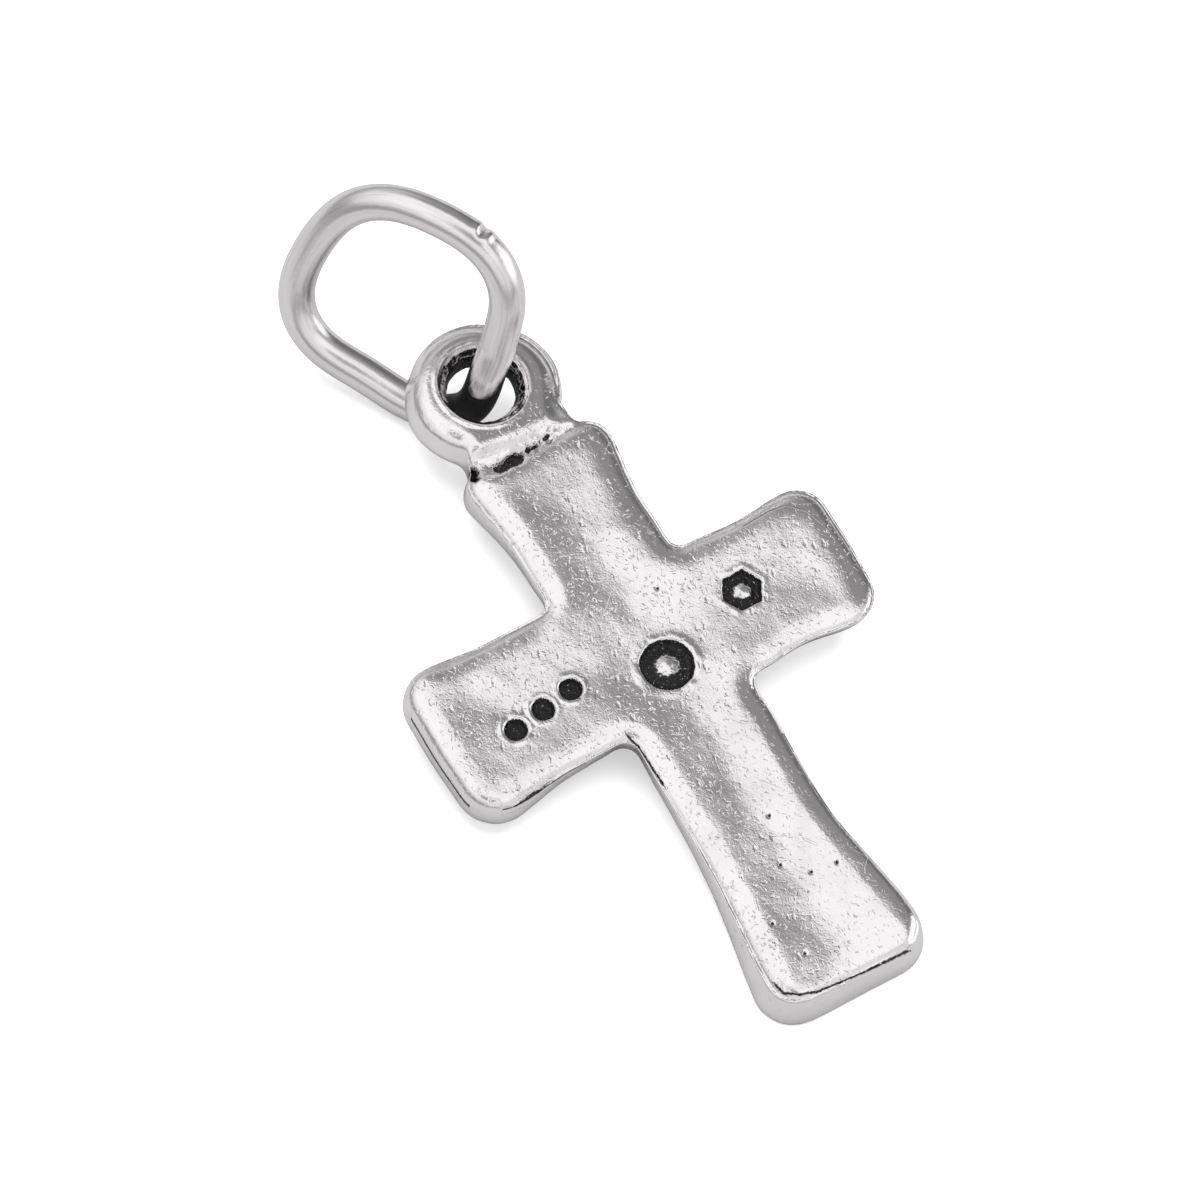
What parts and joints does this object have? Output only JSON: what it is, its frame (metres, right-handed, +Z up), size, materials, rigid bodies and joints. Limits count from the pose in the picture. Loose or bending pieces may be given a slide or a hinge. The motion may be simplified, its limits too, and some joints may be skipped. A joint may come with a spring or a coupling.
{
  "type": "cross charm",
  "caption": "Small cast silver cross charm with flared arms, an eyelet and a loose jump ring, lying front down with its marked back face up.",
  "frame": {"origin": "on the surface that the charm lies on, under the middle of its length, on the cross's own middle line", "axes": "+Y from the lower arm towards the eyelet and the jump ring, +Z up out of the marked back face, +X towards the arm with the six-sided mark"},
  "size_m": [0.0113, 0.0226, 0.0057],
  "materials": {
    "cast_silver": "polished cast silver with fine scratches and casting pits, dark oxidised marks and recesses",
    "wire_silver": "smooth polished silver wire"
  },
  "bodies": {
    "root": {"cross": "cast_silver", "jump_ring": "wire_silver"}
  },
  "joints": []
}
